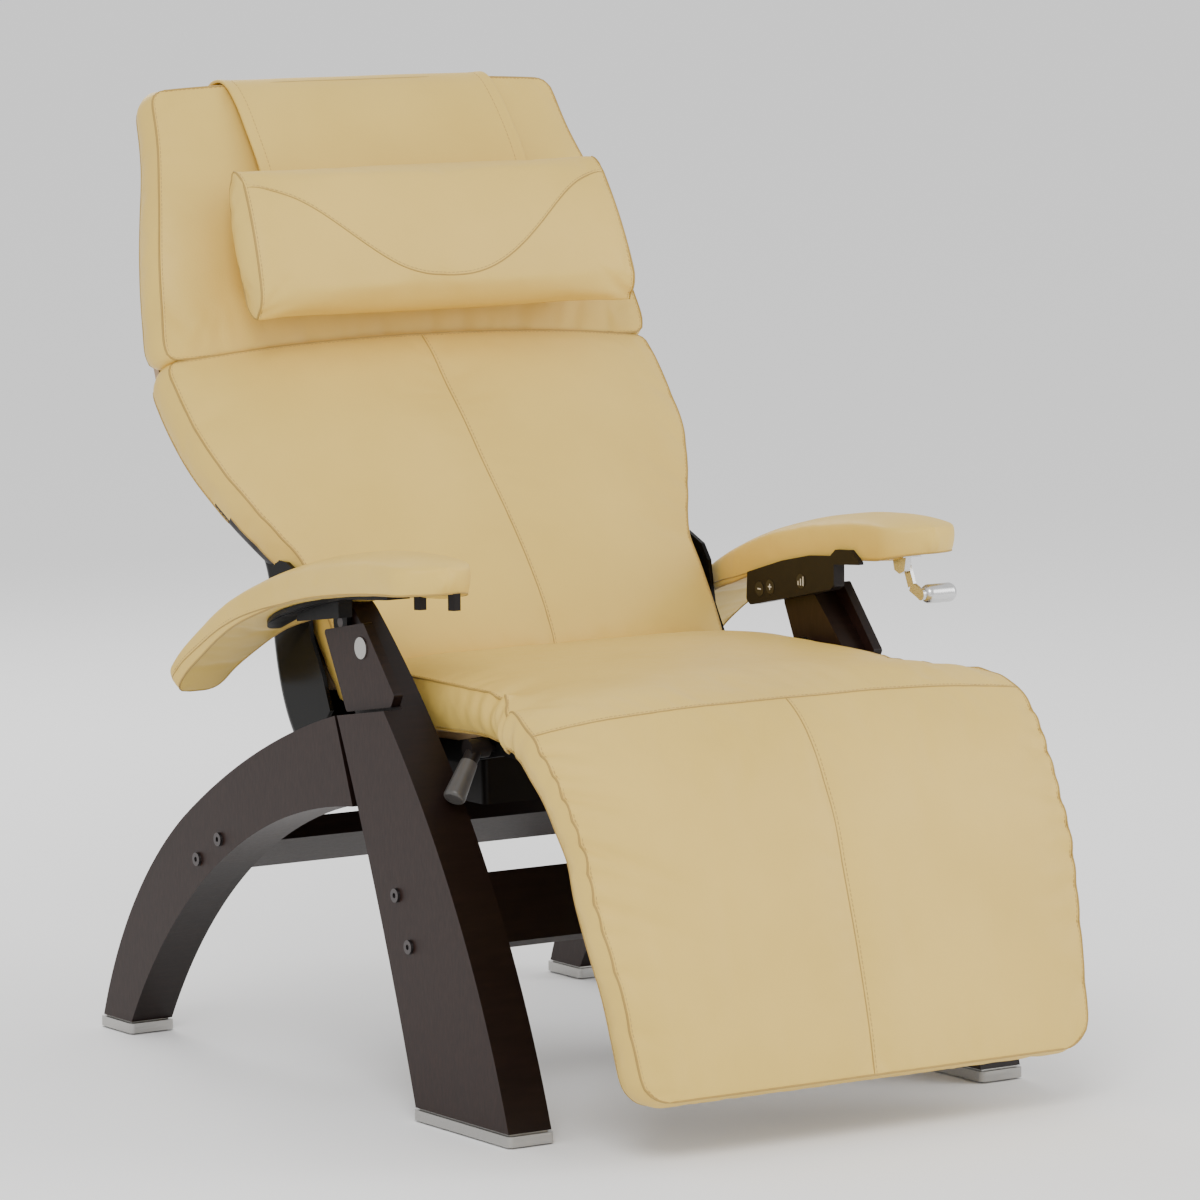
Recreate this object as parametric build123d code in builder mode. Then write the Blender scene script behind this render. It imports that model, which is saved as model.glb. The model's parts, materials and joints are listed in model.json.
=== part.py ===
from build123d import *
import math
import os

os.makedirs("parts", exist_ok=True)

# Frame: millimetres, +Z up, floor at z 0, sitter faces -Y, sitter's left is +X.
# Side profiles are written as (y, z) points and pushed out along X.

# ---- driving dimensions -------------------------------------------------------------------------
leg_in, leg_out = 294.0, 350.0        # laminated side frames, inner and outer face
cover_out_x = 337.0                   # outer face of the post covers
leg_step = 325.0                      # outer lamination stops here above the ledge
cap_h, pad_h = 14.0, 2.0              # foot cap and rubber pad
recline_at = (-25.0, 465.0)           # recline pivot
arm_at = (12.0, 545.0)                # arm rest pivot
knee_at = (-385.0, 430.0)             # leg rest pivot
knee_swing = 30.0                     # leg rest travel, degrees
pin_r, bush_r, fit = 10.0, 14.0, 0.05
arm_pin_r = 6.0
lock_foot = (-70.0, 238.0)            # recline lock, hinge on the front rail
lock_eye = (-116.0, 386.0)            # recline lock, eye under the seat frame
lock_eye_r = 9.5                      # wide eye: takes up the arc that the straight stroke leaves
rod_r, tube_r, tube_len = 6.0, 13.0, 129.0
strut_foot = (-58.0, 385.0)           # leg rest strut, hinge under the seat frame
strut_eye = (-420.0, 330.0)           # leg rest strut, eye on the leg rest frame
strut_x = 80.0
lever_hub = (-186.0, 418.0)           # leg rest lever axle
pad_in, pad_out = 284.0, 383.0        # arm pads
bolt_r, bolt_head_r = 4.0, 8.0
shell_half = 284.0
key_r = 8.6                           # keys on the control pod
key_at = {"button_minus": (58.0, 535.0), "button_plus": (36.0, 539.5), "button_mode": (-28.0, 552.0)}
rail_in, rail_out = 228.0, 253.0      # steel side rails of seat and back

# ---- shared outlines ----------------------------------------------------------------------------
# back and head: the side seam line from the top down, with half width at each point
head_seam = [(512, 1118, 276), (457, 1010, 307), (427, 932, 324), (398, 836, 338)]
back_seam = [(386, 809, 340), (335, 751, 338), (294, 708, 329), (259, 667, 312), (227, 630, 290),
             (200, 598, 272), (160, 548, 268), (128, 500, 266), (112, 470, 266)]
seat_top = [(98, 486), (-60, 487), (-227, 487), (-340, 484), (-396, 470)]
seat_under = [(-396, 436), (-205, 447), (-111, 429), (0, 425), (98, 428)]
leg_front = [(-447, 440), (-470, 392), (-491, 345), (-513, 280), (-532, 203), (-550, 144), (-570, 78)]
pad_under = [(-226, 599), (-149, 592), (-44, 584), (12, 573), (95, 551), (159, 527), (243, 492),
             (317, 440)]
pad_crown = [(326, 466), (267, 516), (197, 553), (110, 590), (24, 615), (-54, 628), (-140, 637),
             (-200, 638), (-226, 628)]


def offset_line(points, d):
    """Points moved d along the left-hand normal of an open (y, z) line; d may be one per point."""
    out = []
    each = d if isinstance(d, list) else [d] * len(points)
    for i, (p, d) in enumerate(zip(points, each)):
        a, b = points[max(i - 1, 0)], points[min(i + 1, len(points) - 1)]
        dy, dz = b[0] - a[0], b[1] - a[1]
        n = math.hypot(dy, dz)
        out.append((p[0] - dz / n * d, p[1] + dy / n * d))
    return out


def slab(points, x0, x1, side=1, mode=Mode.ADD):
    """A flat (y, z) outline as a plate from x0 to x1, mirrored to -X for side -1."""
    lo = x0 if side > 0 else -x1
    with BuildSketch(Plane.YZ.offset(lo)) as outline:
        with BuildLine():
            Polyline(*points, close=True)
        make_face()
    extrude(outline.sketch, amount=x1 - x0, mode=mode)


def rod(centre, r, x0, x1, side=1, mode=Mode.ADD):
    """A round bar along X at centre (y, z)."""
    lo = x0 if side > 0 else -x1
    with BuildSketch(Plane.YZ.offset(lo)) as outline:
        with Locations(centre):
            Circle(r)
    extrude(outline.sketch, amount=x1 - x0, mode=mode)


def keep(part, label):
    part.label = label
    export_step(part, f"parts/{label}.step")


def strip(a, b, start, end, half):
    """Four corners of a bar from a to b, beginning start and ending end along it."""
    dy, dz = b[0] - a[0], b[1] - a[1]
    n = math.hypot(dy, dz)
    u, v = (dy / n, dz / n), (-dz / n, dy / n)
    at = [(start, -half), (end, -half), (end, half), (start, half)]
    return [(a[0] + u[0] * s + v[0] * t, a[1] + u[1] * s + v[1] * t) for s, t in at]


yz_head = [(y, z) for y, z, h in head_seam]
yz_back = [(y, z) for y, z, h in back_seam]
whole_back = yz_head[:-1] + yz_back          # one line from head top to the seat
arch_bolts = [(263, 266), (314, 236)]
post_bolts = [(-133, 252), (-160, 197)]

# ---- base: two laminated side frames joined by two rails -------------------------------------------
for side, tag in ((-1, "right"), (1, "left")):
    with BuildPart() as front_leg:
        with BuildSketch(Plane.YZ.offset(leg_in if side > 0 else -leg_out)) as leg_outline:
            with BuildLine():
                ThreePointArc((-362, 16), (-226, 304), (-8, 560))
                Line((-8, 560), (0, 566))
                ThreePointArc((0, 566), (14, 569), (33, 556))
                Line((33, 556), (28, 520))
                ThreePointArc((28, 520), (-92, 238), (-168, 16))
                Line((-168, 16), (-362, 16))
            make_face()
        extrude(leg_outline.sketch, amount=leg_out - leg_in)
        slab([(-130, 461), (60, 431), (60, 590), (-130, 590)], leg_step, leg_out + 5, side,
             Mode.SUBTRACT)
        rod(recline_at, bush_r, leg_in - 1, leg_in + 26, side, Mode.SUBTRACT)
        rod(arm_at, arm_pin_r + fit, leg_in - 1, leg_step + 1, side, Mode.SUBTRACT)
        for at in post_bolts:
            rod(at, bolt_r, leg_in - 1, leg_out + 1, side, Mode.SUBTRACT)
    keep(front_leg.part, f"front_leg_{tag}")

    with BuildPart() as rear_leg:
        with BuildSketch(Plane.YZ.offset(leg_in if side > 0 else -leg_out)) as arch_outline:
            with BuildLine():
                Line((482, 16), (550, 16))
                ThreePointArc((550, 16), (468, 167), (348, 282))
                ThreePointArc((348, 282), (184, 374), (-3, 441))
                Line((-3, 441), (-40, 341))
                ThreePointArc((-40, 341), (245, 250), (482, 16))
            make_face()
        extrude(arch_outline.sketch, amount=leg_out - leg_in)
        with BuildSketch(Plane.YZ.offset((leg_in if side > 0 else -leg_out) - 1)) as post_cut:
            with BuildLine():
                ThreePointArc((28, 520), (-92, 238), (-168, 16))
                Polyline((-168, 16), (-420, 16), (-420, 560), (28, 560), (28, 520))
            make_face()
        extrude(post_cut.sketch, amount=leg_out - leg_in + 2, mode=Mode.SUBTRACT)
        for at in arch_bolts:
            rod(at, bolt_r, leg_in - 1, leg_out + 1, side, Mode.SUBTRACT)
    keep(rear_leg.part, f"rear_leg_{tag}")

    with BuildPart() as post_cover:
        slab([(40, 534.2), (-47, 550.2), (-112, 474.2), (-104, 460.4), (-8, 444.9)], leg_step,
             cover_out_x, side)
        fillet(post_cover.edges().filter_by(Axis.X), 4)
        rod(arm_at, 18, leg_step - 1, leg_step + 8, side, Mode.SUBTRACT)
    keep(post_cover.part, f"arm_post_cover_{tag}")

with BuildPart() as cover_badges:
    for side in (-1, 1):
        rod((-42, 521.2), 12.5, cover_out_x, cover_out_x + 1.5, side)
keep(cover_badges.part, "cover_badges")

for label, y0, y1 in (("foot_caps_front", -366, -165), ("foot_caps_rear", 479, 556)):
    with BuildPart() as foot_caps:
        for side in (-1, 1):
            x_mid = side * (leg_in + leg_out) / 2
            with BuildSketch(Plane.XY.offset(pad_h)):
                with Locations((x_mid, (y0 + y1) / 2)):
                    RectangleRounded(60, y1 - y0, 6)
            extrude(amount=cap_h - pad_h)
            with BuildSketch(Plane.XY.offset(cap_h)):
                with Locations((x_mid, (y0 + y1) / 2)):
                    Rectangle(50, y1 - y0 - 14)
            extrude(amount=2)
    keep(foot_caps.part, label)

with BuildPart() as foot_pads:
    with BuildSketch():
        for side in (-1, 1):
            for y0, y1 in ((-366, -165), (479, 556)):
                with Locations((side * (leg_in + leg_out) / 2, (y0 + y1) / 2)):
                    Rectangle(48, y1 - y0 - 16)
    extrude(amount=pad_h)
keep(foot_pads.part, "foot_pads")

with BuildPart() as front_rail:
    slab(strip((-165.5, 187.3), (-128.5, 262.7), 0, 84, 12), -leg_in, leg_in)
    for side in (-1, 1):
        for at in post_bolts:
            rod(at, bolt_r, leg_in - 40, leg_in, side, Mode.SUBTRACT)
keep(front_rail.part, "front_rail")

with BuildPart() as rear_rail:
    slab(strip((252, 272), (324, 230), 0, 84, 13), -leg_in, leg_in)
    for side in (-1, 1):
        for at in arch_bolts:
            rod(at, bolt_r, leg_in - 40, leg_in, side, Mode.SUBTRACT)
keep(rear_rail.part, "rear_rail")

with BuildPart() as leg_bolts:
    for side in (-1, 1):
        for at in arch_bolts + post_bolts:
            rod(at, bolt_r, leg_in - 40, leg_out, side)
            rod(at, bolt_head_r, leg_out, leg_out + 3.5, side)
            rod(at, 3, leg_out + 1, leg_out + 4, side, Mode.SUBTRACT)
keep(leg_bolts.part, "leg_bolts")

with BuildPart() as pivot_bushes:
    for side in (-1, 1):
        rod(recline_at, bush_r, leg_in, leg_in + 26, side)
        rod(recline_at, pin_r + fit, leg_in - 1, leg_in + 27, side, Mode.SUBTRACT)
keep(pivot_bushes.part, "pivot_bushes")

# ---- recline lock: tube hinged on the front rail, rod in a wide eye under the seat -------------------
with BuildPart() as lock_bracket:
    for x0 in (-26, 18):
        slab([(-124, 245), (-148.5, 195), (-132, 197), (-72, 226), (-59, 232), (-59, 244), (-70, 250)],
             x0, x0 + 8)
        rod(lock_foot, 5 + fit, x0 - 1, x0 + 9, 1, Mode.SUBTRACT)
    slab(strip((-153.4, 181.4), (-116.4, 256.8), 20, 68, 2.5), -26, 26)
    slab(strip((-165.5, 187.3), (-128.5, 262.7), -2, 90, 12), -27, 27, 1, Mode.SUBTRACT)
keep(lock_bracket.part, "lock_bracket")

tube_plane = Plane(origin=(0, *lock_foot), x_dir=(1, 0, 0),
                   z_dir=(0, lock_eye[0] - lock_foot[0], lock_eye[1] - lock_foot[1]))
with BuildPart() as lock_housing:
    with BuildSketch(tube_plane.offset(16)) as tube_ring:
        Circle(tube_r)
    extrude(tube_ring.sketch, amount=tube_len - 16)
    rod(lock_foot, 10, -17, 17)
    slab(strip(lock_foot, lock_eye, 0, 24, 8), -10, 10)
    rod(lock_foot, 5, -26, 26)
    with BuildSketch(tube_plane.offset(30)) as tube_bore:
        Circle(rod_r + fit)
    extrude(tube_bore.sketch, amount=tube_len, mode=Mode.SUBTRACT)
keep(lock_housing.part, "lock_housing")

with BuildPart() as lock_rod:
    reach = math.dist(lock_foot, lock_eye)
    with BuildSketch(tube_plane.offset(32)) as rod_ring:
        Circle(rod_r)
    extrude(rod_ring.sketch, amount=reach - 40)
    rod(lock_eye, 9, -5, 5)
    rod(lock_eye, 4, -18, 18)
keep(lock_rod.part, "lock_rod")

# ---- arm rests: carrier with pivot lug, padded top ---------------------------------------------------
for side, tag in ((-1, "right"), (1, "left")):
    with BuildPart() as base_plate:
        slab([(-90, 587.5), (-44, 584), (12, 573), (95, 551), (159, 527), (200, 509.9), (200, 505),
              (159, 522), (95, 546), (12, 568), (-44, 579), (-90, 582.5)], 327, 376, side)
        with BuildSketch(Plane.XY.offset(480)) as base_oval:
            with Locations((side * 333, 54)):
                Ellipse(39, 100)
        extrude(base_oval.sketch, amount=140, mode=Mode.INTERSECT)

    with BuildPart() as carrier:
        slab([(-140, 591.1), (-44, 584), (12, 573), (95, 551), (122, 540.7), (120, 536), (95, 545),
              (12, 567.5), (-44, 578.5), (-140, 586.5)], 332, 362, side)
        add(base_plate.part)
        slab([(arm_at[0] - 15, arm_at[1]), (arm_at[0] + 15, arm_at[1]), (arm_at[0] + 15, 569),
              (arm_at[0] - 15, 574)], 326.5, 332, side)
        slab([(-15, 553.5), (78, 541), (78, 553), (-15, 576)], 332, 350, side)
        rod(arm_at, 15, 326.5, 332, side)
        rod(arm_at, arm_pin_r, 325, 333, side, Mode.SUBTRACT)
    keep(carrier.part, f"arm_carrier_{tag}")

    with BuildPart() as arm_pin:
        rod(arm_at, arm_pin_r, 296, 332, side)
    keep(arm_pin.part, f"arm_pin_{tag}")

    with BuildPart() as arm_pad:
        slab(pad_under + pad_crown, pad_in, pad_out, side)
        fillet(arm_pad.edges().filter_by(Axis.X).filter_by_position(Axis.Z, 600, 700), 10)
        with BuildSketch(Plane.XY.offset(400)) as pad_plan:
            with BuildLine():
                ThreePointArc((side * pad_in, -176.5), (side * 333.5, -226), (side * pad_out, -176.5))
                Polyline((side * pad_out, -176.5), (side * pad_out, 200), (side * 374, 327),
                         (side * 326, 327), (side * 312, 240), (side * 294, 120),
                         (side * pad_in, 40), (side * pad_in, -176.5))
            make_face()
        extrude(pad_plan.sketch, amount=280, mode=Mode.INTERSECT)
    keep(arm_pad.part, f"arm_pad_{tag}")

with BuildPart() as pad_studs:
    for at, z in ((-139, 592), (-211, 598)):
        with BuildSketch(Plane.XY.offset(z - 19)):
            with Locations((-318, at)):
                RegularPolygon(8, 6)
        extrude(amount=19)
    slab([(-226, 599), (-149, 592), (-44, 584), (-44, 680), (-226, 680)], 280, 390, -1,
         Mode.SUBTRACT)
keep(pad_studs.part, "pad_studs")

# ---- control pod under the inner edge of the left arm pad --------------------------------------------
with BuildPart() as control_pod:
    slab([(-97, 588), (-97, 552), (-88, 547), (78, 514), (86, 520), (84, 553), (12, 573), (-44, 584)],
         279, 293, 1)
    fillet(control_pod.edges().filter_by(Axis.X).filter_by_position(Axis.Z, 500, 552.5), 5)
    for at in key_at.values():
        rod(at, key_r + 0.3, 278, 284, 1, Mode.SUBTRACT)
        rod(at, 3, 278, 290, 1, Mode.SUBTRACT)
    slab([(-97, 588), (-97, 553.5), (-90, 548), (-40, 538), (-40, 583)], 277.6, 279, 1)
    slab([(-84, 577), (-84, 583), (-100, 596), (-131, 598), (-148, 585), (-148, 582)], 277.6,
         pad_in, 1)
keep(control_pod.part, "control_pod")

for label, at in key_at.items():
    with BuildPart() as button:
        rod(at, key_r, 278.6, 282.6, 1)
        rod(at, 2.94, 282.6, 288, 1)
        if label == "button_mode":
            for dy, top in ((-5, 6), (0, 3), (5, 0)):
                slab([(at[0] + dy - 0.9, at[1] - 5), (at[0] + dy + 0.9, at[1] - 5),
                      (at[0] + dy + 0.9, at[1] + top), (at[0] + dy - 0.9, at[1] + top)],
                     278.3, 278.6)
        else:
            slab([(at[0] - 3.6, at[1] - 0.8), (at[0] + 3.6, at[1] - 0.8),
                  (at[0] + 3.6, at[1] + 0.8), (at[0] - 3.6, at[1] + 0.8)], 278.3, 278.6)
            if label == "button_plus":
                slab([(at[0] - 0.8, at[1] - 3.6), (at[0] + 0.8, at[1] - 3.6),
                      (at[0] + 0.8, at[1] + 3.6), (at[0] - 0.8, at[1] + 3.6)], 278.3, 278.6)
    keep(button.part, label)

# ---- recline lever under the left arm pad ------------------------------------------------------------
lever_at = (-186.0, 583.0)
grip_r = 11.3
with BuildPart() as lever_bracket:
    slab([(-200, 596.2), (-172, 593.8), (-176, 577), (-186, 573), (-196, 577)], 308, 316, 1)
    slab([(-205, 597.1), (-160, 593), (-160, 590), (-205, 594.1)], 300, 326, 1)
    rod(lever_at, 4 + fit, 307, 317, 1, Mode.SUBTRACT)
keep(lever_bracket.part, "lever_bracket")

with BuildPart() as recline_lever:
    rod(lever_at, 4, 308, 321)
    rod(lever_at, 6.5, 317, 321)
    slab(strip(lever_at, (-198, 556), 0, 26, 6), 317, 321)
    slab(strip((-197, 558), (-216, 550), -2, 20, 6), 317, 321)
    rod((-215, 551), 7, 317, 321)
keep(recline_lever.part, "recline_lever")

with BuildPart() as recline_grip:
    with BuildSketch(Plane.YZ.offset(321)) as grip_foot:
        with Locations((-215, 551)):
            Circle(grip_r)
    extrude(grip_foot.sketch, amount=44)
    fillet(recline_grip.edges().filter_by(GeomType.CIRCLE), 8)
keep(recline_grip.part, "recline_grip")

# ---- recliner: steel seat frame, posts and boards ------------------------------------------------------
pan_low = offset_line(seat_under, -12)
rail_low = offset_line(seat_under, -37)
with BuildPart() as seat_frame:
    for side in (-1, 1):
        slab(pan_low + rail_low[::-1], rail_in, rail_out, side)
        slab([(-37, 388), (-13, 388), (-13, 412), (-37, 412)], rail_out, 281, side)
    slab([(-37, 388), (-13, 388), (-13, 412), (-37, 412)], -rail_in, rail_in)
    slab([(60, 391), (84, 391), (84, 413), (60, 413)], -rail_in, rail_in)
    slab([(-356, 400), (-334, 400), (-334, 424), (-356, 424)], -rail_in, rail_in)
    for side in (-1, 1):
        slab([(-420, 380), (-372, 380), (-372, 450), (-420, 450)], rail_in - 1, rail_out + 1, side,
             Mode.SUBTRACT)
        slab([(-385, 418), (-340, 402), (-330, 412), (-340, 425), (-385, 442)], rail_out, 259, side)
        rod(knee_at, 12, rail_out, 259, side)
        rod(knee_at, 6 + fit, rail_out - 1, 260, side, Mode.SUBTRACT)
    rod(lever_hub, 5 + fit, 234, rail_out + 1, -1, Mode.SUBTRACT)
    for x0 in (-18, 10):
        slab([(-36, 389), (-36, 411), (-104, 411), (-122, 401), (-131, 391), (-131, 380), (-122, 371),
              (-108, 371), (-96, 380), (-70, 389)], x0, x0 + 8)
        rod(lock_eye, lock_eye_r, x0 - 1, x0 + 9, 1, Mode.SUBTRACT)
    for x0 in (strut_x - 20, strut_x + 12):
        slab([(-37, 389), (-37, 411), (-60, 397), (-68, 388), (-66, 377), (-56, 373)], x0, x0 + 8)
        rod(strut_foot, 5 + fit, x0 - 1, x0 + 9, 1, Mode.SUBTRACT)
keep(seat_frame.part, "seat_frame")

for side, tag in ((-1, "right"), (1, "left")):
    with BuildPart() as seat_bracket:
        slab([(-52, 386), (2, 386), (-5, 465), (-45, 465)], 281, 287, side)
        rod(recline_at, 20, 281, 287, side)
        rod(recline_at, pin_r, 280, 288, side, Mode.SUBTRACT)
    keep(seat_bracket.part, f"seat_bracket_{tag}")

with BuildPart() as pivot_pins:
    for side in (-1, 1):
        rod(recline_at, pin_r, 281, 318, side)
keep(pivot_pins.part, "pivot_pins")

with BuildPart() as seat_pan:
    slab(seat_under + pan_low[::-1], -252, 252)
    slab([(-420, 400), (-374, 400), (-374, 470), (-420, 470)], -270, 270, 1, Mode.SUBTRACT)
keep(seat_pan.part, "seat_pan")

padding = [52, 52, 52, 52, 52, 52, 51, 48, 44, 40, 40, 40]      # upholstery depth down the back
board_front = offset_line(whole_back, padding)
board_rear = offset_line(whole_back, [d + 11 for d in padding])
post_rear = offset_line(whole_back, [d + 29 for d in padding])
with BuildPart() as back_board:
    slab(board_front + board_rear[::-1], -330, 330)
    with BuildSketch(Plane.XZ.offset(-800)) as board_plan:
        with BuildLine():
            Polyline((-232, 1090), (-262, 1062), (-292, 985), (-310, 905), (-322, 805), (-322, 745),
                     (-312, 680), (-296, 640), (-270, 600), (-262, 560), (-262, 432), (262, 432),
                     (262, 560), (270, 600), (296, 640), (312, 680), (322, 745), (322, 805),
                     (310, 905), (292, 985), (262, 1062), (232, 1090), close=True)
        make_face()
    extrude(board_plan.sketch, amount=900, mode=Mode.INTERSECT)
keep(back_board.part, "back_board")

with BuildPart() as back_posts:
    for side in (-1, 1):
        slab(board_rear[1:] + [(138, 413), (138, 391), (140, 391), (140, 403), (158, 410)]
             + post_rear[1:-1][::-1], 200, 224, side)
        slab([(60, 391), (140, 391), (140, 413), (60, 413)], 200, 228, side)
    slab(board_rear[2:4] + post_rear[2:4][::-1], -200, 200)
    slab(board_rear[6:8] + post_rear[6:8][::-1], -200, 200)
    slab([(60, 380), (84, 380), (84, 413.5), (60, 413.5)], -232, 232, 1, Mode.SUBTRACT)
keep(back_posts.part, "back_posts")

# ---- black shells behind the back --------------------------------------------------------------------
hip_rear = [(289, 608), (276, 593), (264, 570), (257, 535), (251, 491), (241, 450), (226, 414),
            (209, 388)]
hip_inner = [(247, 497), (245, 487), (235.5, 453), (221, 417), (206, 393.5)]
with BuildPart() as hip_shell:
    with BuildSketch(Plane.YZ.offset(-shell_half)) as hip_outline:
        with BuildLine():
            Spline(*hip_rear)
            Polyline(hip_rear[-1], (140, 396), (140, 401), (117, 428), (134, 468), (158, 508), (163, 535),
                     (167, 560), (181, 579), (212, 592), (236, 594), (262, 597), hip_rear[0])
        make_face()
    extrude(hip_outline.sketch, amount=2 * shell_half)
    fillet(hip_shell.edges().filter_by(GeomType.BSPLINE), 14)
    slab(hip_inner + [(158, 401), (90, 401), (90, 640), (320, 640), (320, 512), (248, 512)],
         -shell_half + 5, shell_half - 5, 1, Mode.SUBTRACT)
keep(hip_shell.part, "hip_shell")

cover_out = offset_line(whole_back, [d + 34 for d in padding])
cover_in = offset_line(whole_back, [d + 30 for d in padding])
with BuildPart() as back_cover:
    slab(board_rear[2:8] + cover_out[2:8][::-1], -246, 246)
    slab(board_front[2:8] + cover_in[2:8][::-1], -242, 242, 1, Mode.SUBTRACT)
keep(back_cover.part, "back_cover")

# ---- massage drive: two motors with eccentric weights ------------------------------------------------
motor_at = (189.5, 463.0)
with BuildPart() as motor_saddles:
    for side in (-1, 1):
        slab(strip((171.5, 473.5), motor_at, -2.5, 18, 13), 96, 116, side)
        rod(motor_at, 17, 95, 117, side, Mode.SUBTRACT)
    slab(board_front + board_rear[::-1], -330, 330, 1, Mode.SUBTRACT)
keep(motor_saddles.part, "motor_saddles")

with BuildPart() as massage_motors:
    for side in (-1, 1):
        rod(motor_at, 17, 78, 134, side)
        rod(motor_at, 7, 134, 138, side)
        rod(motor_at, 3 + fit, 110, 139, side, Mode.SUBTRACT)
keep(massage_motors.part, "massage_motors")

for side, tag in ((-1, "right"), (1, "left")):
    with BuildPart() as weight:
        rod(motor_at, 3, 114, 154, side)
        rod(motor_at, 14, 142, 152, side)
        slab([(172, 464.5), (207, 464.5), (207, 480), (172, 480)], 141, 153, side, Mode.SUBTRACT)
        rod(motor_at, 6, 142, 152, side)
    keep(weight.part, f"massage_weight_{tag}")

# ---- control box and power socket under the seat -------------------------------------------------------
with BuildPart() as control_box:
    with BuildSketch(Plane.XY.offset(337)):
        with Locations((-128, -40)):
            RectangleRounded(160, 110, 8)
    extrude(amount=58)
    slab([(-37, 388), (-13, 388), (-13, 420), (-37, 420)], -260, 0, 1, Mode.SUBTRACT)
    slab([(-64, 394), (14, 394), (14, 413), (-64, 417)], -200, -192)
    slab([(-64, 394), (14, 394), (14, 413), (-64, 417)], -64, -56)
    slab([(-37, 388), (-13, 388), (-13, 430), (-37, 430)], -260, 0, 1, Mode.SUBTRACT)
    slab(seat_under + pan_low[::-1], -262, 262, 1, Mode.SUBTRACT)
    slab([(9, 352), (16, 352), (16, 378), (9, 378)], -150, -112, 1, Mode.SUBTRACT)
keep(control_box.part, "control_box")

with BuildPart() as power_inlet:
    slab([(9, 352), (17.5, 352), (17.5, 378), (9, 378)], -150, -112)
    slab([(12, 356), (18, 356), (18, 374), (12, 374)], -145, -117, 1, Mode.SUBTRACT)
    for x0 in (-140, -133, -126):
        slab([(11, 364), (16, 364), (16, 367), (11, 367)], x0 + 1, x0 + 3)
keep(power_inlet.part, "power_inlet")

# ---- upholstery: seat, back and head ---------------------------------------------------------------------
with BuildPart() as seat_cushion:
    slab(seat_top + seat_under, -330, 330)
    with BuildSketch(Plane.XY.offset(400)) as seat_plan:
        with BuildLine():
            Polyline((-262, 90), (-270, 0), (-270, -242), (-284, -265), (-300, -290), (-318, -335),
                     (-328, -396), (328, -396), (318, -335), (300, -290), (284, -265), (270, -242),
                     (270, 0), (262, 90), close=True)
        make_face()
    extrude(seat_plan.sketch, amount=100, mode=Mode.INTERSECT)
    slab([knee_at, (-400, 500), (-440, 500), (-440, 400), (-385, 400)], -340, 340, 1,
         Mode.SUBTRACT)
    for side in (-1, 1):
        rod(knee_at, 14.5, rail_out - 1, 268, side, Mode.SUBTRACT)
keep(seat_cushion.part, "seat_cushion")

back_front = offset_line(yz_back, -34)
with BuildPart() as back_cushion:
    slab([(372, 805)] + back_front[1:-1] + [(72, 489), (98, 489), (100, 466)]
         + [(112, 431), (134, 430)] + [(160, 446), (300, 560), (440, 700), (436, 786)], -344, 344)
    with BuildSketch(Plane.XZ.offset(-800)) as back_plan:
        with BuildLine():
            left_edge = [(-h, z) for y, z, h in back_seam] + [(-266, 420)]
            Polyline(*left_edge, *[(-x, z) for x, z in left_edge[::-1]], close=True)
        make_face()
    extrude(back_plan.sketch, amount=900, mode=Mode.INTERSECT)
    slab(board_front + [(140, 440), (300, 440), (620, 780), (620, 1060)], -350, 350, 1,
         Mode.SUBTRACT)
keep(back_cushion.part, "back_cushion")

head_front = offset_line(yz_head, -24)
head_behind = offset_line(yz_head, 54)
with BuildPart() as head_cushion:
    slab(head_front + head_behind[::-1] + [(530, 1130), (515, 1132)], -340, 340)
    fillet(head_cushion.edges().filter_by(Axis.X).filter_by_position(Axis.Z, 1085, 1140), 8)
    with BuildSketch(Plane.XZ.offset(-800)) as head_plan:
        with BuildLine():
            Polyline((-200, 1134), (-262, 1128), (-282, 1100), (-307, 1010), (-324, 932), (-340, 790),
                     (340, 790), (324, 932), (307, 1010), (282, 1100), (262, 1128), (200, 1134),
                     close=True)
        make_face()
    extrude(head_plan.sketch, amount=900, mode=Mode.INTERSECT)
    slab(board_front + [(140, 440), (300, 440), (620, 780), (620, 1060)], -350, 350, 1,
         Mode.SUBTRACT)
keep(head_cushion.part, "head_cushion")

# ---- head pillow on its strap, with the balance weight behind ---------------------------------------------
with BuildPart() as head_strap:
    outer = offset_line(yz_head, -27)[:3]
    inner = offset_line(yz_head, -24.3)[:3]
    over = [(512, 1137), (536, 1134.5), (573, 1104), (573.5, 1088.5), (549, 1040)]
    under = [(546.5, 1041.5), (570.5, 1088.8), (570, 1103), (534.5, 1131.7), (513, 1133.8)]
    slab(outer[::-1] + over + under + inner, -188, 188)
keep(head_strap.part, "head_strap")

with BuildPart() as counterweight:
    hang_a, hang_b = offset_line(yz_head, 82)[0:2]
    slab(strip(hang_a, hang_b, 30, 112, 11.5), -180, 180)
    fillet(counterweight.edges().filter_by(Axis.X), 6)
keep(counterweight.part, "counterweight")

with BuildPart() as pillow:
    pillow_plane = Plane(origin=(0, 352, 951), x_dir=(1, 0, 0), z_dir=(0, -0.937, 0.35))
    with BuildSketch(pillow_plane.offset(-41)) as pillow_foot:
        RectangleRounded(536, 156, 40)
    extrude(pillow_foot.sketch, amount=80)
    fillet(pillow.edges().group_by(Axis.Y)[-1], 18)
    fillet(pillow.edges().group_by(Axis.Y)[0], 24)
keep(pillow.part, "pillow")

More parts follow.
